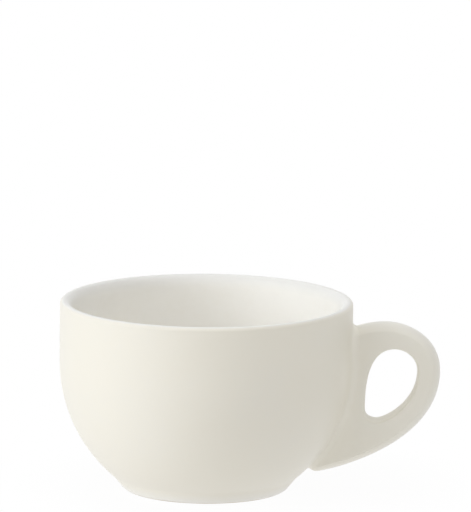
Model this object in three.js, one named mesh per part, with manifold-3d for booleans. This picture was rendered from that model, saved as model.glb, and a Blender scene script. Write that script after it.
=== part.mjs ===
// A latte cup: a round-bellied bowl on a low foot ring, with a closed ear handle luted to its wall.
// Millimetres, +Z up. The cup stands on z = 0 with its handle along +X.
import * as THREE from 'three';
import { mergeVertices } from 'three/addons/utils/BufferGeometryUtils.js';
import Module from 'manifold-3d';

// Bowl
const cupHeight = 70.4;
const rimRadius = 54;
const wallThickness = 4.5;
const floorThickness = 4.6;
const bellyHeight = 47.7;
const floorFillet = 24;
const lipOuterRound = 1.5;
const lipInnerRound = wallThickness - lipOuterRound;

// Glass lining of the inside, let into the wall a little below the lip's rounding
const glazeThickness = 0.3;
const glazeGap = 0.1;
const glazeLand = 0.5;

// Foot ring
const footHeight = 5;
const footSeatGap = 0.1;
const footCornerRadius = 30;
const footFlare = 4;
const footOuterRound = 3.3;
const footInnerRound = 0.8;
const treadInnerRadius = 24.6;
const footInnerRadius = 23.6;

// Ear handle, placed from the wall, the rim and the table
const handleReach = 32.3;
const handleThickness = 11;
const crownDrop = 7.4;
const crownOut = 12.2;
const rootDip = 2.2;
const reachDrop = 25.7;
const heelHeight = 6.6;
const heelIn = 13.1;
const heelRun = 7;
const heelRise = 4;
const edgeRound = 3.2;
const edgeRoundDepth = 4.4;
const limbShare = 0.46;

// Finger hole, placed from the limbs of the ear
const topLimb = 9.85;
const outerLimb = 8.5;
const webWidth = 4.7;
const holeLift = 19.85;
const holeTopOut = 15.5;
const holeBottomOut = 9;
const holeLeftLift = 4.2;

// How full each quarter turn of the ear is at its two ends: 0 is a straight chord, 1 a square corner
const crownFullness = [0.4, 0.7];
const elbowFullness = [0.757, 0.06];
const toeFullness = 0.5;
const holeFullness = {
  topToLeft: [0.81, 0.49],
  leftToBottom: [0.58, 0.67],
  bottomToRight: [0.23, 0.65],
  rightToTop: [0.6, 0.47],
};

// Luting slip between the handle and the wall
const slipThickness = 0.8;
const slipFlare = 1.2;
const slipGap = 0.25;

// Fineness of the facets
const turnFacets = 48;
const bellySteps = 10;
const innerBellySteps = 8;
const filletSteps = 5;
const cornerSteps = 4;
const curveSegments = 10;
const bevelSegments = 4;
const limbSamples = 60;

// How far a shape runs on past the face that trims it
const rootSink = 8;
const coreOverhang = 10;

// The handle makes the cup longer on one side, so its axis stands off the middle of its length.
const axisOffset = handleReach / 2;
const handleEnd = rimRadius + handleReach;

// The belly is one arc, from the foot's shoulder to the height where the wall stands upright.
const shoulderRadius = footCornerRadius + footFlare;
const bellyRise = bellyHeight - footHeight;
const bellySpread = rimRadius - shoulderRadius;
const bellyArc = (bellyRise ** 2 + bellySpread ** 2) / (2 * bellySpread);
const glazeTop = cupHeight - lipInnerRound - glazeLand;

const wasm = await Module();
wasm.setup();

// Outside of the belly, grown by `offset`, from the height `fromZ` up to where the wall stands upright.
function bellyOutside(offset, fromZ) {
  const arc = bellyArc + offset;
  const start = Math.asin((fromZ - bellyHeight) / arc);
  const points = [];
  for (let i = 0; i <= bellySteps; i += 1) {
    const angle = start * (1 - i / bellySteps);
    points.push([rimRadius - bellyArc + arc * Math.cos(angle), bellyHeight + arc * Math.sin(angle)]);
  }
  return points;
}

// Inside of the cup from the top of its lining down to the axis, moved into the wall by `offset`.
function cupInside(offset, topZ) {
  const arc = bellyArc - wallThickness + offset;
  const fillet = floorFillet + offset;
  const floorZ = footHeight + floorThickness - offset;
  const centreR = rimRadius - bellyArc;
  const drop = bellyHeight - floorZ - fillet;
  const filletR = centreR + Math.sqrt((arc - fillet) ** 2 - drop ** 2);
  const join = Math.atan2(-drop, filletR - centreR);
  const points = [[centreR + arc, topZ]];
  for (let i = 0; i <= innerBellySteps; i += 1) {
    const angle = (join * i) / innerBellySteps;
    points.push([centreR + arc * Math.cos(angle), bellyHeight + arc * Math.sin(angle)]);
  }
  for (let i = 1; i <= filletSteps; i += 1) {
    const angle = join + ((-Math.PI / 2 - join) * i) / filletSteps;
    points.push([filletR + fillet * Math.cos(angle), floorZ + fillet + fillet * Math.sin(angle)]);
  }
  points.push([0, floorZ]);
  return points;
}

// A corner of a profile rounded by an arc that touches both of its sides.
function roundedCorner(before, corner, after, radius) {
  const here = new THREE.Vector2(...corner);
  const back = new THREE.Vector2(...before).sub(here).normalize();
  const ahead = new THREE.Vector2(...after).sub(here).normalize();
  const half = Math.acos(THREE.MathUtils.clamp(back.dot(ahead), -1, 1)) / 2;
  const toCentre = back.clone().add(ahead).normalize().multiplyScalar(radius / Math.sin(half));
  const centre = here.clone().add(toCentre);
  const touch = here.clone().addScaledVector(back, radius / Math.tan(half)).sub(centre);
  const turn = Math.sign(touch.cross(toCentre.clone().negate())) * (Math.PI - 2 * half);
  const points = [];
  for (let i = 0; i <= cornerSteps; i += 1) {
    const spoke = touch.clone().rotateAround(new THREE.Vector2(), (turn * i) / cornerSteps);
    points.push([centre.x + spoke.x, centre.y + spoke.y]);
  }
  return points;
}

// A solid of revolution about the cup's axis from a profile of [radius, height] points.
function turned(profile) {
  const points = profile.map(([radius, height]) => new THREE.Vector2(radius, height));
  const geometry = new THREE.LatheGeometry(points, turnFacets);
  return geometry.rotateX(Math.PI / 2);
}

function toSolid(geometry) {
  const bare = geometry.clone();
  bare.deleteAttribute('normal');
  bare.deleteAttribute('uv');
  const merged = mergeVertices(bare);
  const corners = merged.index.array;
  const triangles = [];
  for (let i = 0; i < corners.length; i += 3) {
    const [a, b, c] = corners.slice(i, i + 3);
    if (a !== b && b !== c && c !== a) triangles.push(a, b, c);
  }
  return new wasm.Manifold(new wasm.Mesh({
    numProp: 3,
    vertProperties: new Float32Array(merged.attributes.position.array),
    triVerts: new Uint32Array(triangles),
  }));
}

function toGeometry(solid) {
  const mesh = solid.getMesh();
  const geometry = new THREE.BufferGeometry();
  geometry.setAttribute('position', new THREE.BufferAttribute(mesh.vertProperties, mesh.numProp));
  geometry.setIndex(new THREE.BufferAttribute(mesh.triVerts, 1));
  geometry.computeVertexNormals();
  return geometry;
}

// Everything inside the cup's outer wall, grown by `offset`: what the handle and the slip end on.
function cupCore(offset) {
  const wall = bellyOutside(offset, footHeight);
  const foot = wall[0];
  const top = cupHeight + coreOverhang;
  return toSolid(turned([
    [0, -coreOverhang],
    [foot[0], -coreOverhang],
    ...wall,
    [rimRadius + offset, top],
    [0, top],
  ]));
}

function bowlGeometry() {
  const wall = bellyOutside(0, footHeight);
  const innerRadius = rimRadius - wallThickness;
  const lipOuter = [rimRadius, cupHeight];
  const lipInner = [innerRadius, cupHeight];
  const recess = glazeThickness + glazeGap;
  return turned([
    [0, footHeight],
    ...wall,
    ...roundedCorner([rimRadius, 0], lipOuter, lipInner, lipOuterRound),
    ...roundedCorner(lipOuter, lipInner, [innerRadius, 0], lipInnerRound).slice(1),
    [innerRadius, glazeTop],
    ...cupInside(recess, glazeTop - recess),
  ]);
}

function linerGeometry() {
  const top = glazeTop - 2 * glazeGap;
  const inside = cupInside(0, top);
  const backing = cupInside(glazeThickness, top - glazeThickness);
  return turned([...backing.reverse(), ...inside]);
}

function footGeometry() {
  const seatZ = footHeight - footSeatGap;
  const shoulder = [shoulderRadius, seatZ];
  const corner = [footCornerRadius, 0];
  const heel = [treadInnerRadius, 0];
  const inside = [footInnerRadius, seatZ];
  return turned([
    inside,
    ...roundedCorner(inside, heel, corner, footInnerRound),
    ...roundedCorner(heel, corner, shoulder, footOuterRound),
    shoulder,
    inside,
  ]);
}

// A quarter turn that leaves its first point level and reaches its last point upright.
function turnFromLevel(path, end, [fullness, endFullness]) {
  const start = path.currentPoint;
  const lead = start.x + fullness * (end[0] - start.x);
  const trail = end[1] + endFullness * (start.y - end[1]);
  path.bezierCurveTo(lead, start.y, end[0], trail, end[0], end[1]);
}

// A quarter turn that leaves its first point upright and reaches its last point level.
function turnFromUpright(path, end, [fullness, endFullness]) {
  const start = path.currentPoint;
  const lead = start.y + fullness * (end[1] - start.y);
  const trail = end[0] + endFullness * (start.x - end[0]);
  path.bezierCurveTo(start.x, lead, trail, end[1], end[0], end[1]);
}

// The ear seen from the side: x out from the cup's axis, y up. Its root is sunk in the wall, and behind
// the toe of its heel the underside rises towards the wall.
function earShape() {
  const crown = [rimRadius + crownOut, cupHeight - crownDrop];
  const reach = [handleEnd, cupHeight - reachDrop];
  const heel = [rimRadius - heelIn, heelHeight];
  const rootR = rimRadius - rootSink;
  const heelTop = heelHeight + heelRise;
  const heelRootR = Math.min(heel[0] - heelRun, bellyOutside(0, heelTop)[0][0]) - rootSink;

  const ear = new THREE.Shape();
  ear.moveTo(rootR, crown[1] - rootDip);
  ear.lineTo(rimRadius, crown[1] - rootDip);
  ear.quadraticCurveTo(rimRadius + crownOut / 2, crown[1], crown[0], crown[1]);
  turnFromLevel(ear, reach, crownFullness);
  turnFromUpright(ear, heel, elbowFullness);
  ear.quadraticCurveTo(heel[0] - toeFullness * heelRun, heel[1], heel[0] - heelRun, heelTop);
  ear.lineTo(heelRootR, heelTop);
  ear.lineTo(rootR, bellyHeight);
  ear.closePath();

  const holeTop = [rimRadius + holeTopOut, crown[1] - topLimb];
  const holeRight = [handleEnd - outerLimb, reach[1]];
  const holeBottom = [rimRadius + holeBottomOut, heelHeight + holeLift];
  const holeLeft = [rimRadius + webWidth, holeBottom[1] + holeLeftLift];
  const hole = new THREE.Path();
  hole.moveTo(...holeTop);
  turnFromLevel(hole, holeLeft, holeFullness.topToLeft);
  turnFromUpright(hole, holeBottom, holeFullness.leftToBottom);
  turnFromLevel(hole, holeRight, holeFullness.bottomToRight);
  turnFromUpright(hole, holeTop, holeFullness.rightToTop);
  ear.holes.push(hole);
  return ear;
}

// The least width of an ear between its outline and its finger hole.
function thinnestLimb(ear) {
  const { shape, holes } = ear.extractPoints(limbSamples);
  const widths = holes[0].map((inner) => Math.min(...shape.map((outer) => inner.distanceTo(outer))));
  return Math.min(...widths);
}

// The ear as a solid grown on every side by `flare`. Its rounded edges never use up its thinnest limb.
function earSolid(flare) {
  const ear = earShape();
  const round = Math.min(edgeRound, limbShare * thinnestLimb(ear));
  const depth = handleThickness - 2 * edgeRoundDepth + 2 * flare;
  const geometry = new THREE.ExtrudeGeometry(ear, {
    depth,
    curveSegments,
    bevelSegments,
    bevelSize: round,
    bevelOffset: flare - round,
    bevelThickness: edgeRoundDepth,
  });
  geometry.translate(0, 0, -depth / 2);
  return toSolid(geometry.rotateX(Math.PI / 2));
}

function handleGeometry() {
  return toGeometry(earSolid(0).subtract(cupCore(slipGap + slipThickness + slipGap)));
}

function slipGeometry() {
  const layer = cupCore(slipGap + slipThickness).subtract(cupCore(slipGap));
  return toGeometry(earSolid(slipFlare).intersect(layer));
}

function piece(name, geometry, color, roughness) {
  const material = new THREE.MeshStandardMaterial({ color, roughness, metalness: 0 });
  const mesh = new THREE.Mesh(geometry, material);
  mesh.name = name;
  return mesh;
}

const ivoryGlaze = '#ece7da';
const whiteGlaze = '#f7f5f0';
const bareClay = '#ddd4c3';
const glossyRoughness = 0.22;
const bareRoughness = 0.8;

const cup = new THREE.Group();
cup.position.x = -axisOffset;
cup.add(
  piece('bowl', bowlGeometry(), ivoryGlaze, glossyRoughness),
  piece('foot_ring', footGeometry(), bareClay, bareRoughness),
  piece('handle', handleGeometry(), ivoryGlaze, glossyRoughness),
  piece('luting_slip', slipGeometry(), ivoryGlaze, glossyRoughness),
  piece('liner_glaze', linerGeometry(), whiteGlaze, glossyRoughness),
);

const latteCup = new THREE.Group();
latteCup.add(cup);
export default latteCup;
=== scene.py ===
# %% [markdown]
# # A latte cup in ivory glaze
#
# This lesson makes the visible surfaces of one glazed cup: a round bowl with a rolled lip, the paler
# lining of its inside, a turned foot ring, a closed ear handle, and the slip that joins the ear to the
# wall. The cup's construction was drawn beforehand with coarse facets. It is loaded here as a fixed
# frame, and each of its five pieces is then replaced by a fine mesh in the same place. Lengths are in
# metres, +Z is up, the table is z = 0 and the handle points along +X.

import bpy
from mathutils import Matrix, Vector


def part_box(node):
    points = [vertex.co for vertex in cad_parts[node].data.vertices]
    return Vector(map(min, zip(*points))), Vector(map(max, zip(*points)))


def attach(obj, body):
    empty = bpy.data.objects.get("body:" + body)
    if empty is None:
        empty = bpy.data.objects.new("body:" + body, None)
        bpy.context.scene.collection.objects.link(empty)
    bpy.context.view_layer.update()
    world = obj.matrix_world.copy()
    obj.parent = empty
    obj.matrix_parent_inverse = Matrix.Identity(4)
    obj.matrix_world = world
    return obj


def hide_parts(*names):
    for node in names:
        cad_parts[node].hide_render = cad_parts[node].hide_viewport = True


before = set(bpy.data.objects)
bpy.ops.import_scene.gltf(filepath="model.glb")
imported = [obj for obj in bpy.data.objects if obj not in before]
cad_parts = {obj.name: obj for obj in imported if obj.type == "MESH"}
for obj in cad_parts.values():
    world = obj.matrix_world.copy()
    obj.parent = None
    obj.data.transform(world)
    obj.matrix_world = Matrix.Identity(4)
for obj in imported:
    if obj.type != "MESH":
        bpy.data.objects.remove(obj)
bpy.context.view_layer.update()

# %% Bring in what the lesson uses
import math

import bmesh
import bpy
import numpy as np
from mathutils import Quaternion, Vector
from mathutils.bvhtree import BVHTree
from mathutils.geometry import interpolate_bezier

MM = 0.001
print("Blender", bpy.app.version_string)

# %% [markdown]
# ## Measures
#
# A potter first fixes a few sizes: how wide the rim is, how high the cup stands, how far the ear
# reaches. They could be typed in again, but two lists of the same sizes drift apart. So what the frame
# already knows is read from the boxes of its nodes. Only what a box can't tell is written here: how
# thick the walls are and how round the edges.

# %% Read the sizes off the frame
bowl_low, bowl_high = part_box("bowl")
foot_low, foot_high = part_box("foot_ring")
ear_low, ear_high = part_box("handle")
lining_low, lining_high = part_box("liner_glaze")

axis_x = (bowl_low.x + bowl_high.x) / 2
rim_radius = (bowl_high.x - bowl_low.x) / 2
cup_height = bowl_high.z
foot_height = bowl_low.z
shoulder_radius = (foot_high.x - foot_low.x) / 2
ear_end = ear_high.x - axis_x
ear_half = ear_high.y
crown_height = ear_high.z
heel_height = ear_low.z
print(f"rim {2 * rim_radius / MM:.1f} mm across, {cup_height / MM:.1f} mm high")
print(f"the bowl's axis stands at x = {axis_x / MM:.2f} mm")

# %% Sizes of the walls and roundings
wall = 4.5 * MM
belly_height = 47.7 * MM
lip_outer_round = 1.5 * MM
lip_inner_width = wall - lip_outer_round
lip_inner_drop = 4.5 * MM
lip_squareness = 2.3
lining_thickness = 0.3 * MM
lining_gap = 0.1 * MM
lining_top = lining_high.z
floor_height = lining_low.z + lining_thickness
floor_fillet = 24 * MM

foot_flare = 4 * MM
foot_outer_round = 3.3 * MM
foot_inner_round = 0.8 * MM
foot_hollow = 12 * MM
foot_underside_fillet = 2 * MM
tread_inner_radius = 24.6 * MM
foot_inner_radius = 23.6 * MM

belly_rise = belly_height - foot_height
belly_spread = rim_radius - shoulder_radius
belly_arc = (belly_rise**2 + belly_spread**2) / (2 * belly_spread)
belly_centre = (rim_radius - belly_arc, belly_height)
print(f"the belly is one arc of {belly_arc / MM:.1f} mm")
print(f"its centre lies {belly_centre[0] / MM:.1f} mm off the axis")

# %% [markdown]
# ## Turning on the wheel
#
# Bowl, lining and foot ring are round, so each is a profile turned about the cup's axis. A Screw
# modifier would do it too, but bmesh's spin gives the finished mesh at once, and the mesh can be measured
# and painted straight away. A profile is a list of (radius, height) pairs, with its round stretches
# worked out as arcs.

# %% Draw arcs and rounded corners
ROUND_STEPS = 12


def arc(centre, radius, start, end, steps=ROUND_STEPS):
    """Points on a circle from one angle to another, as (radius, height) pairs."""
    angles = np.linspace(start, end, steps + 1)
    return [(centre[0] + radius * math.cos(a), centre[1] + radius * math.sin(a)) for a in angles]


def soften(before, corner, after, radius):
    """A corner of a profile, rounded by an arc that touches both of its sides."""
    corner = Vector(corner)
    back = (Vector(before) - corner).normalized()
    ahead = (Vector(after) - corner).normalized()
    half = back.angle(ahead) / 2
    centre = corner + (back + ahead).normalized() * radius / math.sin(half)
    spoke = corner + back * radius / math.tan(half) - centre
    to_corner = corner - centre
    start = math.atan2(spoke.y, spoke.x)
    turn = math.copysign(math.pi - 2 * half, spoke.x * to_corner.y - spoke.y * to_corner.x)
    return arc(centre, radius, start, start + turn)


def straight(start, end, steps):
    """Evenly spaced points from one point to another, without the two ends."""
    start, end = Vector(start), Vector(end)
    return [tuple(start.lerp(end, i / steps)) for i in range(1, steps)]


print("a rounded corner has", len(soften((1, 0), (0, 0), (0, 1), 0.2)), "points")

# %% Turn a profile into a mesh
TURN_STEPS = 224
WELD = 1e-7
SHARP_ANGLE = math.radians(35)


def finish_mesh(name, bm):
    """Makes an object of a bmesh, with smooth faces and its hard edges kept hard."""
    bmesh.ops.recalc_face_normals(bm, faces=bm.faces)
    mesh = bpy.data.meshes.new(name)
    bm.to_mesh(mesh)
    bm.free()
    mesh.shade_smooth()
    mesh.set_sharp_from_angle(angle=SHARP_ANGLE)
    piece = bpy.data.objects.new(name, mesh)
    bpy.context.scene.collection.objects.link(piece)
    print(f"{name}: {len(mesh.vertices)} vertices, {len(mesh.polygons)} faces")
    return piece


def turn_on_wheel(name, profile, closed=False):
    """A body of revolution about the cup's axis. The profile ends on the axis or closes on itself."""
    bm = bmesh.new()
    points = [bm.verts.new((axis_x + radius, 0, height)) for radius, height in profile]
    for first, second in zip(points, points[1:]):
        bm.edges.new((first, second))
    if closed:
        bm.edges.new((points[-1], points[0]))
    bmesh.ops.spin(
        bm,
        geom=bm.verts[:] + bm.edges[:],
        cent=(axis_x, 0, 0),
        axis=(0, 0, 1),
        angle=math.tau,
        steps=TURN_STEPS,
        use_merge=True,
    )
    bmesh.ops.remove_doubles(bm, verts=bm.verts, dist=WELD)
    return finish_mesh(name, bm)


print("the wheel makes", TURN_STEPS, "steps a turn")

# %% [markdown]
# ## The outline of bowl and foot
#
# On the real cup, bowl and foot ring are one fired body, and the glaze runs over the place where they
# meet. Two profiles drawn apart would leave a crease there. So the outside is worked out as one curve,
# from the lip down to the tread: an upright wall, the arc of the belly, a shallow hollow and the flared
# foot. It is then parted at the height where the ring was stuck on.

# %% Work out the hollow between belly and foot
foot_corner = Vector((shoulder_radius - foot_flare, 0))
foot_side = (Vector((shoulder_radius, foot_height)) - foot_corner).normalized()
foot_out = Vector((foot_side.y, -foot_side.x))

# The hollow's circle touches the belly's from outside and lies against the straight side of the foot.
from_belly = foot_corner + foot_out * foot_hollow - Vector(belly_centre)
along = foot_side.dot(from_belly)
spare = from_belly.length_squared - (belly_arc + foot_hollow) ** 2
hollow_centre = foot_corner + foot_out * foot_hollow + foot_side * (-along - math.sqrt(along**2 - spare))
to_belly = Vector(belly_centre) - hollow_centre
belly_end = math.atan2(-to_belly.y, -to_belly.x)
hollow_start = math.atan2(to_belly.y, to_belly.x)
hollow_end = math.atan2(-foot_out.y, -foot_out.x) % math.tau
seam_angle = math.pi - math.asin((foot_height - hollow_centre.y) / foot_hollow)
print(f"the hollow runs from {math.degrees(hollow_start):.1f} to {math.degrees(hollow_end):.1f} degrees")

# %% [markdown]
# ## Bowl
#
# The bowl was pressed on a turning mould: a wall of even thickness, a soft lip and a flat underside. Its
# inside is covered by the lining, so behind the lining the bowl's own surface is set back a little and
# stays hidden. Everything is one profile, from the middle of the underside round to the middle of the
# floor. The lip's inner side is no part of a circle: it is taller than wide and has fuller shoulders
# than an ellipse, so it is worked out with a power that sets how square it is.

# %% Draw the inside of the cup
WALL_STEPS = 10
INNER_BELLY_STEPS = 28
FILLET_STEPS = 24
FLOOR_STEPS = 10

lip_middle = rim_radius - lip_outer_round
lip_base = cup_height - lip_inner_drop


def lip_slope(high, low, set_back=0):
    """The inner side of the lip between two heights: a part of an upright ellipse with full shoulders."""
    shares = [min((height - lip_base) / lip_inner_drop, 1) for height in (high, low)]
    start, end = (math.asin(share ** (lip_squareness / 2)) for share in shares)
    angles = np.linspace(start, end, ROUND_STEPS + 1)
    across = lip_inner_width * np.cos(angles) ** (2 / lip_squareness)
    up = lip_inner_drop * np.sin(angles) ** (2 / lip_squareness)
    return list(zip(lip_middle + set_back - across, lip_base + up))


def inside_profile(set_back, top):
    """The inside from a height on the lip down to the axis, set back into the wall."""
    radius = belly_arc - wall + set_back
    fillet = floor_fillet + set_back
    ground = floor_height - set_back
    drop = belly_height - ground - fillet
    fillet_radius = belly_centre[0] + math.sqrt((radius - fillet) ** 2 - drop**2)
    meet = math.atan2(-drop, fillet_radius - belly_centre[0])
    upright = (belly_centre[0] + radius, lip_base)
    return [
        *lip_slope(top, lip_base, set_back),
        *straight(upright, (upright[0], belly_height), WALL_STEPS),
        *arc(belly_centre, radius, 0, meet, INNER_BELLY_STEPS),
        *arc((fillet_radius, ground + fillet), fillet, meet, -math.pi / 2, FILLET_STEPS)[1:],
        *straight((fillet_radius, ground), (0, ground), FLOOR_STEPS),
        (0, ground),
    ]


print("the inside has", len(inside_profile(0, lining_top)), "points from lip to axis")

# %% Turn the bowl
UNDERSIDE_STEPS = 16
HOLLOW_STEPS = 3
BELLY_STEPS = 44

lip_outside = (rim_radius, cup_height)
recess = lining_thickness + lining_gap
underside_middle = (0, foot_height)
seam = (hollow_centre.x + foot_hollow * math.cos(seam_angle), foot_height)

bowl = turn_on_wheel("cup_bowl", [
    underside_middle,
    *straight(underside_middle, seam, UNDERSIDE_STEPS),
    *arc(hollow_centre, foot_hollow, seam_angle, hollow_start, HOLLOW_STEPS),
    *arc(belly_centre, belly_arc, belly_end, 0, BELLY_STEPS)[1:],
    *straight((rim_radius, belly_height), (rim_radius, cup_height - lip_outer_round), WALL_STEPS),
    *soften((rim_radius, 0), lip_outside, (0, cup_height), lip_outer_round),
    *lip_slope(cup_height, lining_top)[1:],
    *inside_profile(recess, lining_top - recess),
])

# %% [markdown]
# ## Lining
#
# The inside was glazed by pouring: a paler glass coat fills the bowl up to the lip and is drained. It
# could be left to the bowl's material alone. Here it is a thin shell of its own, as in the frame. Its
# profile starts on the axis, climbs the hidden side, and comes down the visible side to the axis again,
# so the shell is closed. The visible side goes on from the lip's own slope, and no step shows.

# %% Turn the lining
lining = turn_on_wheel("cup_lining", [
    *reversed(inside_profile(lining_thickness, lining_top - lining_thickness)),
    *inside_profile(0, lining_top),
])

# %% [markdown]
# ## Foot ring
#
# The ring that the cup stands on flares up to meet the belly, and its lower edge is well rounded. Its
# tread is flat and ground smooth, and inside it a small fillet leads to the underside of the bowl. It is
# the only piece that touches the table. Its profile doesn't reach the axis, so it closes on itself.

# %% Turn the foot ring
foot_shoulder = (shoulder_radius, foot_height)
tread_corner = (tread_inner_radius, 0)
foot_inside = (foot_inner_radius, foot_height)

foot_ring = turn_on_wheel("cup_foot_ring", [
    *arc(hollow_centre, foot_hollow, seam_angle, hollow_end, HOLLOW_STEPS),
    *soften(foot_shoulder, foot_corner, tread_corner, foot_outer_round),
    *soften(foot_corner, tread_corner, foot_inside, foot_inner_round),
    *soften(tread_corner, foot_inside, underside_middle, foot_underside_fillet),
], closed=True)

# %% [markdown]
# ## Ear handle
#
# The ear was cast in a two-part mould. Seen from the side it is a rounded D with a finger hole, and the
# toe of its heel stands off the wall a little. Its outer edge is a bull nose, one wide arc from cheek to
# cheek with a soft shoulder on each side, and the hole's edge is flatter. An extruded curve with a bevel
# can't have two kinds of edge. Instead the cheeks are a net of points between hole and outline, and each
# point's half thickness follows from how far it lies from both edges.

# %% Bend a curve between two points
CURVE_STEPS = 80


def quarter_turn(start, end, leaves_level, fullness, end_fullness):
    """A curve from a level to an upright direction, or the other way about, as bent as its fullness."""
    start, end = Vector(start), Vector(end)
    if leaves_level:
        lead = Vector((start.x + fullness * (end.x - start.x), start.y))
        trail = Vector((end.x, end.y + end_fullness * (start.y - end.y)))
    else:
        lead = Vector((start.x, start.y + fullness * (end.y - start.y)))
        trail = Vector((end.x + end_fullness * (start.x - end.x), end.y))
    return interpolate_bezier(start, lead, trail, end, CURVE_STEPS)


def single_bend(start, bend, end):
    """A curve that leaves one point towards a bend and comes from it to the other point."""
    start, bend, end = Vector(start), Vector(bend), Vector(end)
    return interpolate_bezier(start, start.lerp(bend, 2 / 3), end.lerp(bend, 2 / 3), end, CURVE_STEPS)


print("a curve has", len(single_bend((0, 0), (1, 0), (1, 1))), "points")

# %% Draw the ear from the side
root_depth = 1.2 * MM
root_dip = 2.2 * MM
crown_out = 12.2 * MM
reach_drop = 25.7 * MM
heel_in = 13.1 * MM
toe_rise = 2.6 * MM
toe_run = 1.7 * MM
crown_fullness = (0.4, 0.7)
elbow_fullness = (0.757, 0.06)


def wall_radius(height, offset=0):
    """The outer wall's radius at a height, grown by an offset."""
    if height >= belly_height:
        return rim_radius + offset
    return belly_centre[0] + math.sqrt((belly_arc + offset) ** 2 - (height - belly_height) ** 2)


crown = (rim_radius + crown_out, crown_height)
reach = (ear_end, cup_height - reach_drop)
toe = (rim_radius - heel_in, heel_height)
toe_bend = (toe[0] - toe_run, heel_height)
root_top = (rim_radius, crown_height - root_dip)
root_bend = (rim_radius + crown_out / 2, crown_height)
root_high = (rim_radius - root_depth, root_top[1])
root_low = (wall_radius(heel_height + toe_rise, -root_depth), heel_height + toe_rise)

edge_line = [
    root_high,
    *single_bend(root_top, root_bend, crown)[:-1],
    *quarter_turn(crown, reach, True, *crown_fullness)[:-1],
    *quarter_turn(reach, toe, False, *elbow_fullness)[:-1],
    *single_bend(toe, toe_bend, root_low),
]
print(f"the root lies {root_depth / MM:.1f} mm inside the wall")
print(f"it runs from {root_low[1] / MM:.1f} to {root_high[1] / MM:.1f} mm up")

# %% Draw the finger hole and the hidden root
top_limb = 9.85 * MM
outer_limb = 8.5 * MM
web_width = 4.7 * MM
hole_lift = 19.85 * MM
hole_top_out = 15.5 * MM
hole_bottom_out = 9 * MM
hole_left_rise = 4.2 * MM
top_right_fullness = (0.47, 0.6)
low_right_fullness = (0.65, 0.23)
low_left_fullness = (0.67, 0.58)
top_left_fullness = (0.49, 0.81)

hole_top = (rim_radius + hole_top_out, crown_height - top_limb)
hole_right = (ear_end - outer_limb, reach[1])
hole_bottom = (rim_radius + hole_bottom_out, heel_height + hole_lift)
hole_left = (rim_radius + web_width, hole_bottom[1] + hole_left_rise)
hole_outline = [
    *quarter_turn(hole_top, hole_right, True, *top_right_fullness)[:-1],
    *quarter_turn(hole_right, hole_bottom, False, *low_right_fullness)[:-1],
    *quarter_turn(hole_bottom, hole_left, True, *low_left_fullness)[:-1],
    *quarter_turn(hole_left, hole_top, False, *top_left_fullness),
]
root_heights = np.linspace(root_low[1], root_high[1], CURVE_STEPS)
root_line = [(wall_radius(height, -root_depth), height) for height in root_heights]
print("ear outline", len(edge_line), "points, finger hole", len(hole_outline), "points")

# %% Measure from points to a bent line
def evenly(points, count):
    """The same line with evenly spaced points."""
    line = np.array([tuple(p) for p in points])
    run = np.concatenate([[0], np.cumsum(np.linalg.norm(np.diff(line, axis=0), axis=1))])
    at = np.linspace(0, run[-1], count)
    return np.column_stack([np.interp(at, run, line[:, axis]) for axis in (0, 1)])


def distance_to(line, points):
    """How far each point lies from a bent line, in the plane."""
    start, step = line[:-1], np.diff(line, axis=0)
    away = points[:, None] - start
    share = np.clip((away * step).sum(-1) / (step * step).sum(-1), 0, 1)
    return np.linalg.norm(away - share[..., None] * step, axis=-1).min(1)


hole = np.array([tuple(p) for p in hole_outline])
hole_middle = (hole.min(0) + hole.max(0)) / 2
hole_room = distance_to(hole, hole_middle[None])[0]
print(f"a finger {2 * hole_room / MM:.1f} mm thick fits in the middle of the hole")

# %% Round an edge over
NOSE_ROWS = 9
SHOULDER_ROWS = 6


class BullNose:
    """The section of an edge: a wide arc over the edge, and a small arc where it meets the cheek."""

    def __init__(self, nose, shoulder):
        self.nose = nose
        self.shoulder = shoulder
        self.depth = nose - math.sqrt((nose - shoulder) ** 2 - (ear_half - shoulder) ** 2)
        self.change = nose * (self.depth - shoulder) / (nose - shoulder)

    def half_thickness(self, distance):
        """Half the ear's thickness at a distance from the edge."""
        over = np.sqrt(np.maximum(2 * self.nose * distance - distance**2, 0))
        short_of = np.clip(self.depth - distance, 0, self.shoulder)
        beside = ear_half - self.shoulder + np.sqrt(self.shoulder**2 - short_of**2)
        return np.where(distance < self.change, over, beside)

    def rows(self):
        """Distances at which rows of points follow both arcs closely."""
        rise = np.linspace(0, self.half_thickness(self.change), NOSE_ROWS)
        over = self.nose - np.sqrt(self.nose**2 - rise**2)
        start = math.acos((self.depth - self.change) / self.shoulder)
        turn = np.linspace(start, math.pi / 2, SHOULDER_ROWS)[1:]
        return np.concatenate([over, self.depth - self.shoulder * np.cos(turn)])


outer_edge = BullNose(nose=7 * MM, shoulder=1.2 * MM)
hole_edge = BullNose(nose=30 * MM, shoulder=0.8 * MM)
print(f"outer edge {outer_edge.depth / MM:.1f} mm deep, hole's edge {hole_edge.depth / MM:.1f} mm deep")

# %% Lay columns from the finger hole to the outline
EDGE_COLUMNS = 240
ROOT_COLUMNS = 70
FINE_POINTS = 4 * EDGE_COLUMNS
root_run = 6 * MM

outer = np.vstack([evenly(edge_line, EDGE_COLUMNS), evenly(root_line, ROOT_COLUMNS)[1:-1]])
bearing = np.arctan2(*(outer - hole_middle).T[::-1])
hole_bearing = np.arctan2(*(hole - hole_middle).T[::-1])
inner = np.column_stack([
    np.interp(bearing, hole_bearing, hole[:, axis], period=math.tau) for axis in (0, 1)
])
span = np.linalg.norm(outer - inner, axis=1)
outward = (outer - inner) / span[:, None]

# The edge runs on into the wall at both ends, so that the root keeps its full thickness.
fine_edge = evenly(edge_line, FINE_POINTS)
into_wall = np.array([root_run, 0])
long_edge = np.vstack([fine_edge[0] - into_wall, fine_edge, fine_edge[-1] - into_wall])
print(f"columns from {span.min() / MM:.1f} to {span.max() / MM:.1f} mm long")

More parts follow.
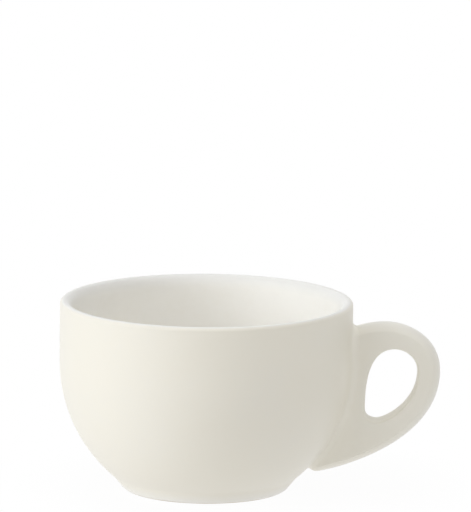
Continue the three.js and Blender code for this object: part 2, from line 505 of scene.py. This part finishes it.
# %% Spread a net along the columns
CHEEK_ROWS = 6
PROBE = 0.5 * MM
most_of_column = 0.45


def slanted(rows, slant):
    """Rows at their distances from an edge, along columns that may cross it at a slant."""
    reach_in = np.minimum(rows[-1] * slant, most_of_column * span)
    return reach_in[:, None] * rows / rows[-1]


hole_slant = PROBE / distance_to(hole, inner + outward * PROBE)
hole_rows = slanted(hole_edge.rows(), hole_slant)
edge_slant = PROBE / np.maximum(distance_to(long_edge, outer - outward * PROBE), PROBE / 2)
edge_rows = span[:, None] - slanted(outer_edge.rows(), edge_slant)[:, ::-1]
cheek = np.linspace(0, 1, CHEEK_ROWS + 2)[1:-1]
cheek_rows = hole_rows[:, -1:] + (edge_rows[:, :1] - hole_rows[:, -1:]) * cheek
steps_out = np.column_stack([hole_rows, cheek_rows, edge_rows])
net = inner[:, None] + outward[:, None] * steps_out[..., None]
print("net of", net.shape[0], "columns and", net.shape[1], "rows")

# %% Give the net its thickness and close it
flat = net.reshape(-1, 2)
from_edge = outer_edge.half_thickness(distance_to(long_edge, flat))
from_hole = hole_edge.half_thickness(distance_to(hole, flat))
thickness = (from_edge * from_hole / ear_half).reshape(net.shape[:2])
thickness[:, 0] = 0
thickness[:EDGE_COLUMNS, -1] = 0


def knit_ear():
    """Joins both cheeks along hole and outline, and caps the root inside the wall."""
    bm = bmesh.new()
    front, back = [], []
    for column, halves in zip(net, thickness):
        near, far = [], []
        for (x, z), half in zip(column, halves):
            near.append(bm.verts.new((axis_x + x, -half, z)))
            far.append(near[-1] if half == 0 else bm.verts.new((axis_x + x, half, z)))
        front.append(near)
        back.append(far)
    count, rows = net.shape[:2]
    for i in range(count):
        j = (i + 1) % count
        for k in range(rows - 1):
            bm.faces.new((front[i][k], front[j][k], front[j][k + 1], front[i][k + 1]))
            bm.faces.new((back[i][k], back[i][k + 1], back[j][k + 1], back[j][k]))
        if i >= EDGE_COLUMNS - 1:
            cap = dict.fromkeys((front[i][-1], front[j][-1], back[j][-1], back[i][-1]))
            bm.faces.new(list(cap))
    return finish_mesh("ear_handle", bm)


ear = knit_ear()

# %% [markdown]
# ## Luting slip
#
# The ear is stuck on with slip, liquid clay that is wiped round with a finger, and the glaze then fills
# the crease. The result is a narrow hollow all round the root. A bevel can't make it, because ear and
# wall are separate meshes. So a ball is rolled along the crease: wherever it touches both ear and wall,
# the arc between the two touching points is one section of the slip. The ball is largest beside the
# cheeks and shrinks towards the crown and the toe, where the crease is tight.

# %% Roll a ball along the crease
side_ball = 3.2 * MM
end_ball = 0.8 * MM
end_room = 6 * MM
far_out = 12 * MM
SIDE_STEPS = 64
END_STEPS = 28
HALVINGS = 40

ear_tree = BVHTree.FromPolygons(
    [vertex.co for vertex in ear.data.vertices],
    [face.vertices for face in ear.data.polygons],
)


def ball_at(y, height, size):
    """The middle of a ball that touches the wall, at a height and a distance to one side."""
    radius = wall_radius(height, size)
    return Vector((axis_x + math.sqrt(radius**2 - y**2), y, height))


def room_to_ear(ball):
    """How far the ball's middle is from the ear, less than 0 inside it."""
    place, normal, _, distance = ear_tree.find_nearest(ball)
    return math.copysign(distance, (ball - place).dot(normal))


def touching_ball(height, angle):
    """Goes out from the ear's middle line until the ball touches the ear. Returns its middle and size."""
    size = end_ball + (side_ball - end_ball) * abs(math.cos(angle))
    near, far = 0, far_out
    for _ in range(HALVINGS):
        out = (near + far) / 2
        ball = ball_at(out * math.cos(angle), height + out * math.sin(angle), size)
        if room_to_ear(ball) < size:
            near = out
        else:
            far = out
    return ball, size


low_end = heel_height + end_room
high_end = root_top[1] - end_room
route = [
    *((height, 0) for height in np.linspace(low_end, high_end, SIDE_STEPS)),
    *((high_end, angle) for angle in np.linspace(0, math.pi, END_STEPS)[1:-1]),
    *((height, math.pi) for height in np.linspace(high_end, low_end, SIDE_STEPS)),
    *((low_end, angle) for angle in np.linspace(math.pi, math.tau, END_STEPS)[1:-1]),
]
balls = [touching_ball(height, angle) for height, angle in route]
print("the ball stops", len(balls), "times on its way round the ear")

# %% Fill the crease
SLIP_STEPS = 14
sink = 0.02 * MM
hidden_share = 1.25


def slip_section(ball, size):
    """Points of one section: the hollow arc from ear to wall, and a hidden corner behind it."""
    to_ear = (ear_tree.find_nearest(ball)[0] - ball).normalized()
    from_axis = Vector((ball.x - axis_x, ball.y))
    slope = min(ball.z - belly_height, 0) / (belly_arc + size)
    level = -from_axis.normalized() * math.sqrt(1 - slope**2)
    to_wall = Vector((level.x, level.y, -slope))
    hollow = [to_ear.slerp(to_wall, i / SLIP_STEPS) for i in range(SLIP_STEPS + 1)]
    corner = (to_ear + to_wall) / (1 + to_ear.dot(to_wall))
    return [
        *(ball + way * (size + sink) for way in hollow),
        ball + corner * size * hidden_share,
    ]


def fill_crease():
    """Joins the sections into a closed ring round the root."""
    bm = bmesh.new()
    rings = [[bm.verts.new(point) for point in slip_section(*ball)] for ball in balls]
    for ring, following in zip(rings, rings[1:] + rings[:1]):
        for k in range(len(ring)):
            n = (k + 1) % len(ring)
            bm.faces.new((ring[k], following[k], following[n], ring[n]))
    return finish_mesh("luting_fillet", bm)


slip = fill_crease()

# %% [markdown]
# ## Painting the depth of the glaze and painted shade
#
# Glaze is thinner where it drains off the lip and the ear's outer edge, and deeper where it pools at the
# heel and on the floor. The same number also paints shade: it darkens the crest of the lip, which the
# lamps light strongly, and at the heel it darkens the ear, whose lighter glaze is painted light on its
# upper part. That number is not a colour: it is a number for each vertex, below 0 where the coat is thin,
# as on the shaded crest of the lip, and above 0 where it is deep, as at the shaded heel. Working it out in
# nodes would need the distance to each edge again, so it is stored on the meshes while the sizes are at
# hand, and the material only reads it.

# %% Store a number on each vertex
def paint(piece, layer, amount):
    """Stores a number for each vertex, worked out from its place, for a material to read."""
    values = [amount(vertex.co) for vertex in piece.data.vertices]
    attribute = piece.data.attributes.new(layer, "FLOAT", "POINT")
    attribute.data.foreach_set("value", values)
    print(f"{piece.name}: {layer} from {min(values):.2f} to {max(values):.2f}")


def smooth_step(low, high, value):
    """0 below low, 1 above high, with a soft rise between."""
    t = min(max((value - low) / (high - low), 0), 1)
    return t * t * (3 - 2 * t)


print("a quarter of the way, a soft rise has reached", smooth_step(0, 1, 0.25))

# %% Store the glaze's depth on bowl, lining and foot
lip_band = 5 * MM
foot_band = 3 * MM
floor_pool = 0.6
floor_pool_rise = floor_fillet / 3
lip_edge_end = rim_radius - lip_outer_round / 10


def inside_the_edge(place):
    """1 on the lip's top and inner side, 0 on the outer wall, with the change on the outer rounding."""
    out = math.hypot(place.x - axis_x, place.y)
    return 1 - smooth_step(lip_middle, lip_edge_end, out)


def thin_glaze_and_shade_at_lip(place):
    """Down to -1 on the crest of the lip, where the glaze is thin and shade is painted on the well-lit
    crest.
    """
    return -smooth_step(cup_height - lip_band, cup_height, place.z) * inside_the_edge(place)


def thin_at_foot(place):
    """-1 at the tread, 0 above a narrow band."""
    return smooth_step(0, foot_band, place.z) - 1


def pool_on_floor(place):
    """Deepest on the floor, gone where the fillet has begun to rise."""
    return floor_pool * (1 - smooth_step(floor_height, floor_height + floor_pool_rise, place.z))


paint(bowl, "glaze_depth", thin_glaze_and_shade_at_lip)
paint(lining, "glaze_depth", lambda place: thin_glaze_and_shade_at_lip(place) + pool_on_floor(place))
paint(foot_ring, "glaze_depth", thin_at_foot)

# %% Store the glaze's depth and painted shade on ear and slip
edge_thinness = 0.7
heel_pool_and_shade = 0.5
heel_pool_and_shade_rise = 25 * MM


def pool_and_shade_at_heel(place):
    """Deepest at the heel, gone about half way up the ear: pooled glaze, and painted shade below the ear's
    lighter upper part.
    """
    return heel_pool_and_shade * (1 - smooth_step(heel_height, heel_height + heel_pool_and_shade_rise, place.z))


def thin_on_outer_edge(place):
    """Thinnest on the middle line of the outer edge, 0 on the cheeks and round the finger hole."""
    at = np.array([[place.x - axis_x, place.z]])
    if distance_to(hole, at)[0] < distance_to(long_edge, at)[0]:
        return 0
    return edge_thinness * (min(abs(place.y) / ear_half, 1) - 1)


paint(ear, "glaze_depth", lambda place: pool_and_shade_at_heel(place) + thin_on_outer_edge(place))
paint(slip, "glaze_depth", pool_and_shade_at_heel)

# %% Store where the lip turns from the outside glaze to the lining
def lining_share(place):
    """0 on the outer wall, up to 1 where the lip meets the lining."""
    return smooth_step(belly_height, lining_top, place.z) * inside_the_edge(place)


paint(bowl, "lining_share", lining_share)

# %% [markdown]
# ## Mixing glazes
#
# A material here is a recipe of nodes. Wiring them by hand hides the sums, so one small class wraps a
# socket and lets Python's own operators add the Math nodes. All other nodes come from one method, which
# takes the node's kind, its settings and what goes into its sockets.

# %% Wrap a socket so that sums can be written down
class Amount:
    """A socket that takes part in sums: each sum adds a Math node."""

    def __init__(self, recipe, socket):
        self.recipe = recipe
        self.socket = socket

    def sum(self, operation, first, second):
        return self.recipe.add("Math", {"operation": operation}, {0: first, 1: second})

    def __add__(self, other):
        return self.sum("ADD", self, other)

    def __radd__(self, other):
        return self.sum("ADD", other, self)

    def __sub__(self, other):
        return self.sum("SUBTRACT", self, other)

    def __rsub__(self, other):
        return self.sum("SUBTRACT", other, self)

    def __mul__(self, other):
        return self.sum("MULTIPLY", self, other)

    def __rmul__(self, other):
        return self.sum("MULTIPLY", other, self)


print("sums are written with", [name for name in vars(Amount) if name.startswith("__r")], "and their mates")

# %% Write a recipe
class Recipe:
    """The node tree of a material or of the world."""

    def __init__(self, owner):
        owner.use_nodes = True
        self.tree = owner.node_tree
        self.tree.nodes.clear()

    def add(self, kind, settings=None, sockets=None, out=0):
        """Adds a node, sets it up, fills or links its sockets, and returns one of its outputs."""
        node = self.tree.nodes.new("ShaderNode" + kind)
        for name, value in (settings or {}).items():
            setattr(node, name, value)
        for name, value in (sockets or {}).items():
            if isinstance(value, Amount):
                self.tree.links.new(value.socket, node.inputs[name])
            else:
                node.inputs[name].default_value = value
        return Amount(self, node.outputs[out]) if node.outputs else node

    def blend(self, share, first, second):
        """Goes from one colour to another. A Mix node's colours are its sockets 6 and 7."""
        return self.add("Mix", {"data_type": "RGBA"}, {0: share, 6: first, 7: second}, out=2)


def finish(name, surface):
    """A material, from a function that adds a surface to a recipe."""
    material = bpy.data.materials.new(name)
    recipe = Recipe(material)
    recipe.add("OutputMaterial", None, {"Surface": surface(recipe)})
    print("mixed", name, "with", len(recipe.tree.nodes), "nodes")
    return material


print("recipes can", [name for name in vars(Recipe) if not name.startswith("_")])

# %% [markdown]
# ## Glaze
#
# The cup is dipped in an ivory glaze with a soft gloss. Close up it isn't one colour: there are broad
# clouds where the coat is a little deeper and a fine mottle. It is greyer where it thins on the lip, and
# its crest is darker still, which is painted shade on a part that the lamps light strongly. It is whiter
# where it drains off the ear's edge, and creamier where it pools. The ear's glaze is a little lighter than
# the bowl's, which is painted light on its top and web, and the cream at the heel is partly pooled glaze
# and partly painted shade. Its surface is almost level, with a faint swell like orange peel. A painted
# image could hold all this, but it would have to be fitted to each mesh. Noise in object coordinates,
# which are the same for every piece, needs no fitting and runs on over the seams.

# %% Choose the tones
ivory = (0.835, 0.80, 0.705, 1)
# The ear's tone is lighter than the bowl's ivory, which is painted light on the ear's top band and web.
ear_ivory_with_painted_light = (0.852, 0.823, 0.735, 1)
pale = (0.93, 0.915, 0.87, 1)
# Greyer thin glaze on the lip, and darker too: painted shade on the crest, which the lamps light strongly.
lip_tone_of_thin_glaze_and_shade = (0.79, 0.783, 0.755, 1)
thin_on_edge = (0.88, 0.872, 0.842, 1)
# Cream where glaze pools; at the ear's heel it is also painted shade.
pooled_and_shaded_cream = (0.80, 0.75, 0.63, 1)
print("outside", ivory[:3], "ear", ear_ivory_with_painted_light[:3], "lining", pale[:3])

# %% Set how uneven the glaze is
CLOUD_SIZE = 30 * MM
MOTTLE_SIZE = 2.4 * MM
SWELL_SIZE = 7 * MM
NOISE_MIDDLE = 0.5
cloud_share = 0.9
mottle_share = 0.35
uneven_share = 0.5
thin_glaze_and_shade_share = 0.7
deep_glaze_and_shade_share = 0.6
least_roughness = 0.32
mottle_roughness = 0.1
cloud_roughness = 0.06
swell_strength = 0.15
swell_height = 0.15 * MM
glass_ior = 1.42
coat_weight = 0.03
coat_roughness = 0.2
print(f"roughness from {least_roughness} to {least_roughness + mottle_roughness + cloud_roughness:.2f}")

# %% Mix the glaze
def noise(recipe, place, size, detail):
    """A cloudy number from 0 to 1, with patches of about a size."""
    return recipe.add(
        "TexNoise", {"noise_dimensions": "3D"}, {"Vector": place, "Scale": 1 / size, "Detail": detail}
    )


def at_least_zero(recipe, amount):
    """The same number with everything below 0 cut off."""
    return recipe.add("Math", {"operation": "MAXIMUM"}, {0: amount, 1: 0})


def glazed(recipe, body, thin_glaze_and_shade_tone):
    """A glazed surface whose body colour is thinned and deepened by the stored depth, which also paints
    shade on the lip's crest and at the ear's heel.
    """
    place = recipe.add("TexCoord", out="Object")
    depth = recipe.add("Attribute", {"attribute_name": "glaze_depth"}, out="Fac")
    cloud = noise(recipe, place, CLOUD_SIZE, detail=3)
    mottle = noise(recipe, place, MOTTLE_SIZE, detail=2)
    swell = noise(recipe, place, SWELL_SIZE, detail=1)

    uneven = (cloud - NOISE_MIDDLE) * cloud_share + (mottle - NOISE_MIDDLE) * mottle_share
    # Thin glaze, which on the lip's crest is also painted shade.
    thinness_and_shade = at_least_zero(recipe, uneven * uneven_share - depth * thin_glaze_and_shade_share)
    # Deep glaze, which at the ear's heel is also painted shade.
    deepness_and_shade = at_least_zero(recipe, depth * deep_glaze_and_shade_share - uneven * uneven_share)
    colour = recipe.blend(deepness_and_shade, recipe.blend(thinness_and_shade, body, thin_glaze_and_shade_tone), pooled_and_shaded_cream)
    rough = least_roughness + mottle_roughness * mottle + cloud_roughness * cloud
    bump = recipe.add("Bump", None, {"Strength": swell_strength, "Distance": swell_height, "Height": swell})
    return recipe.add("BsdfPrincipled", None, {
        "Base Color": colour,
        "Roughness": rough,
        "IOR": glass_ior,
        "Coat Weight": coat_weight,
        "Coat Roughness": coat_roughness,
        "Normal": bump,
    })


print("the glaze has patches of", CLOUD_SIZE, MOTTLE_SIZE, "and", SWELL_SIZE, "m")

# %% Glaze bowl, lining, ear and slip
def bowl_glaze(recipe):
    """Ivory outside, with the lining's tone coming in on the lip and painted shade on its crest."""
    share = recipe.add("Attribute", {"attribute_name": "lining_share"}, out="Fac")
    return glazed(recipe, recipe.blend(share, ivory, pale), lip_tone_of_thin_glaze_and_shade)


def lining_glaze(recipe):
    """The paler coat of the inside, with painted shade near its top by the lip."""
    return glazed(recipe, pale, lip_tone_of_thin_glaze_and_shade)


def ear_glaze(recipe):
    """A little lighter than the ivory of the bowl: painted light on the ear's top and web, and in the
    crease.
    """
    return glazed(recipe, ear_ivory_with_painted_light, thin_on_edge)


bowl.data.materials.append(finish("ivory_glaze_with_pale_lip", bowl_glaze))
lining.data.materials.append(finish("pale_lining_glaze", lining_glaze))
ear.data.materials.append(finish("ivory_glaze_of_ear", ear_glaze))
# The crease takes the ear's lighter glaze, painted light that eases the shade in the crease.
slip.data.materials.append(finish("ivory_glaze_in_crease", ear_glaze))

# %% [markdown]
# ## Bare tread
#
# Glaze would stick the cup to the kiln shelf, so it is wiped off the tread, which is then ground. The
# bare clay is matt, a little darker and grainy, and the wiped line wavers. A separate ring for the clay
# would show a straight joint. So the foot's material is the glaze again, with the clay mixed in below a
# wavering height.

# %% Mix the foot's finish
clay = (0.72, 0.66, 0.55, 1)
dark_clay = (0.58, 0.52, 0.43, 1)
GRAIN_SIZE = 0.35 * MM
WAVER_SIZE = 9 * MM
wiped_height = 0.55 * MM
wiped_blur = 0.15 * MM
waver_depth = 0.5 * MM
grain_strength = 0.4
grain_height = 0.1 * MM
clay_roughness = 0.7
grain_roughness = 0.2


def foot_finish(recipe):
    """Ivory glaze above, bare ground clay on the tread."""
    place = recipe.add("TexCoord", out="Object")
    height = recipe.add("SeparateXYZ", None, {"Vector": place}, out="Z")
    waver = noise(recipe, place, WAVER_SIZE, detail=2)
    grain = noise(recipe, place, GRAIN_SIZE, detail=3)
    bare = recipe.add("MapRange", {"interpolation_type": "SMOOTHSTEP"}, {
        "Value": height + (waver - NOISE_MIDDLE) * waver_depth,
        "From Min": wiped_height + wiped_blur,
        "From Max": wiped_height - wiped_blur,
    })
    bump = recipe.add("Bump", None, {"Strength": grain_strength, "Distance": grain_height, "Height": grain})
    ground = recipe.add("BsdfPrincipled", None, {
        "Base Color": recipe.blend(grain, dark_clay, clay),
        "Roughness": clay_roughness + grain_roughness * grain,
        "Normal": bump,
    })
    return recipe.add("MixShader", None, {0: bare, 1: glazed(recipe, ivory, thin_on_edge), 2: ground})


foot_ring.data.materials.append(finish("ivory_glaze_over_bare_tread", foot_finish))

# %% [markdown]
# ## Joining the frame
#
# The frame has one body, because nothing on a cup moves. Each piece rides on it and stands for one
# node, whose coarse part is hidden. The record's slot for each piece is listed beside it.

# %% Put the pieces on the frame
for piece, node, slot in (
    (bowl, "bowl", "ivory_glaze"),
    (lining, "liner_glaze", "liner_glaze"),
    (foot_ring, "foot_ring", "foot"),
    (ear, "handle", "handle_glaze"),
    (slip, "luting_slip", "slip_glaze"),
):
    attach(piece, "root")
    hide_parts(node)
    print(piece.name, "stands for", node)

# %% [markdown]
# ## Table and surroundings
#
# The cup stands in a white studio. For the camera, and for reflections, table and surroundings are plain
# white. For all other light the table glows like a lit white sheet, which throws light back up under the
# bowl, and the surroundings are a faint fill. A plain glow can't take a shadow. So near the cup a small
# share of what the camera sees is a white board, and the cup keeps its soft shadow.

# %% Tell looking from lighting
white = (1, 1, 1, 1)


def plain_white_rays(recipe):
    """1 for rays that look at the scene: from the camera, or from a reflection or a glass."""
    camera_ray = recipe.add("LightPath", out="Is Camera Ray")
    glossy_ray = recipe.add("LightPath", out="Is Glossy Ray")
    transmission_ray = recipe.add("LightPath", out="Is Transmission Ray")
    return recipe.add("Clamp", None, {"Value": camera_ray + glossy_ray + transmission_ray})


print("what is looked at is", white[:3])

# %% Lay the table
TABLE_REACH = 2.5
TABLE_STEPS = 96
shadow_near = 0.045
shadow_far = 0.1
shadow_share = 0.05
board = (0.95, 0.95, 0.95, 1)
table_glow = 0.86


def white_board(recipe):
    """Plain white to look at, with a faint shadow near the cup, and a glow for all other light."""
    place = recipe.add("TexCoord", out="Object")
    out = recipe.add("VectorMath", {"operation": "LENGTH"}, {0: place}, out="Value")
    near = recipe.add("MapRange", {"interpolation_type": "SMOOTHSTEP"}, {
        "Value": out,
        "From Min": shadow_far,
        "From Max": shadow_near,
    })
    lit = recipe.add("BsdfDiffuse", None, {"Color": board})
    plain = recipe.add("Emission", None, {"Color": white, "Strength": 1})
    glow = recipe.add("Emission", None, {"Color": white, "Strength": table_glow})
    looked_at = recipe.add("MixShader", None, {0: shadow_share * near, 1: plain, 2: lit})
    return recipe.add("MixShader", None, {0: plain_white_rays(recipe), 1: glow, 2: looked_at})


def lay_table():
    """A wide round table at z = 0."""
    bm = bmesh.new()
    bmesh.ops.create_circle(bm, cap_ends=True, segments=TABLE_STEPS, radius=TABLE_REACH)
    table = finish_mesh("white_table", bm)
    table.data.materials.append(finish("white_board", white_board))
    return table


lay_table()

# %% Surround it with soft light
fill_level = 0.015

world = bpy.data.worlds.new("white_studio")
bpy.context.scene.world = world
studio = Recipe(world)
seen = studio.add("Background", None, {"Color": white, "Strength": 1})
fill = studio.add("Background", None, {"Color": white, "Strength": fill_level})
around = studio.add("MixShader", None, {0: plain_white_rays(studio), 1: fill, 2: seen})
studio.add("OutputWorld", None, {"Surface": around})
print("fill light", fill_level)

# %% [markdown]
# ## Lamps
#
# Six soft boxes stand round the cup like lamps behind the cloth of a light tent. The strongest, slightly
# cool, is at the left and gives the slow fall of light across the bowl. The others, in front, at the
# right, behind and overhead, fill the ear, the inside and the lip. None of them shows in a picture or in
# the gloss, as the cloth would hide them. Watts are hard to guess, so each lamp's power is worked out
# from the brightness that a white card would have under it.

# %% Hang the soft boxes
LAMP_DISTANCE = 1.2
middle_of_cup = Vector((0, 0, cup_height / 2))
daylight = (0.96, 1.0, 1.06, 1)


def soft_box(name, azimuth, elevation, size, card_brightness, colour=white):
    """A square lamp that faces the cup. Azimuth 0 is the camera's side, and -90 the left."""
    a, e = math.radians(azimuth), math.radians(elevation)
    away = Vector((math.sin(a) * math.cos(e), -math.cos(a) * math.cos(e), math.sin(e)))
    light = bpy.data.lights.new(name, "AREA")
    light.size = size
    light.color = colour[:3]
    light.energy = card_brightness * (math.pi * LAMP_DISTANCE) ** 2
    lamp = bpy.data.objects.new(name, light)
    lamp.location = middle_of_cup + away * LAMP_DISTANCE
    lamp.rotation_mode = "QUATERNION"
    lamp.rotation_quaternion = away.to_track_quat("Z", "Y")
    lamp.visible_camera = False
    lamp.visible_glossy = False
    bpy.context.scene.collection.objects.link(lamp)
    print(f"{name}: {light.energy:.2f} W")


soft_box("left_soft_box", azimuth=-76, elevation=20, size=0.6, card_brightness=0.42, colour=daylight)
soft_box("front_left_soft_box", azimuth=-50, elevation=25, size=0.9, card_brightness=0.305)
soft_box("front_soft_box", azimuth=10, elevation=25, size=0.9, card_brightness=0.183)
soft_box("right_soft_box", azimuth=82, elevation=42, size=0.8, card_brightness=0.285)
soft_box("back_soft_box", azimuth=180, elevation=45, size=0.9, card_brightness=0.235)
soft_box("overhead_soft_box", azimuth=0, elevation=88, size=0.9, card_brightness=0.3)

# %% [markdown]
# ## Camera
#
# The picture was taken with a long lens from a little above the rim, and the cup sits low in the frame.
# Shifting the lens would do that, but then every other view would be shifted as well. The camera is
# turned instead, so that the middle of the cup falls on the right pixel. Colours are shown as they are,
# because a film look would grey the white studio.

# %% Set up the camera
PICTURE_WIDTH, PICTURE_HEIGHT = 471, 512
CUP_PIXEL = (249.65, 394.26)
PIXELS_PER_METRE = 2710
camera_distance = 3.0
camera_elevation = math.radians(11.5)
camera_roll = math.radians(0.52)

lens = bpy.data.cameras.new("long_lens")
camera = bpy.data.objects.new("camera", lens)
bpy.context.scene.collection.objects.link(camera)
bpy.context.scene.camera = camera

focal_pixels = PIXELS_PER_METRE * camera_distance
lens.lens = lens.sensor_width * focal_pixels / max(PICTURE_WIDTH, PICTURE_HEIGHT)
towards_camera = Vector((0, -math.cos(camera_elevation), math.sin(camera_elevation)))
camera.location = middle_of_cup + towards_camera * camera_distance
sight = Vector((CUP_PIXEL[0] - PICTURE_WIDTH / 2, PICTURE_HEIGHT / 2 - CUP_PIXEL[1], -focal_pixels))
upright_view = towards_camera.to_track_quat("Z", "Y")
roll = Quaternion((0, 0, 1), camera_roll)
camera.rotation_mode = "QUATERNION"
camera.rotation_quaternion = upright_view @ roll @ sight.rotation_difference(Vector((0, 0, -1)))
print(f"lens {lens.lens:.0f} mm at {camera_distance} m")

# %% Look at colours as they are
bpy.context.scene.view_settings.view_transform = "Standard"
print("view transform", bpy.context.scene.view_settings.view_transform)

# %% [markdown]
# ## The frame's box
#
# The fine meshes should fill the frame's box and not pass it.
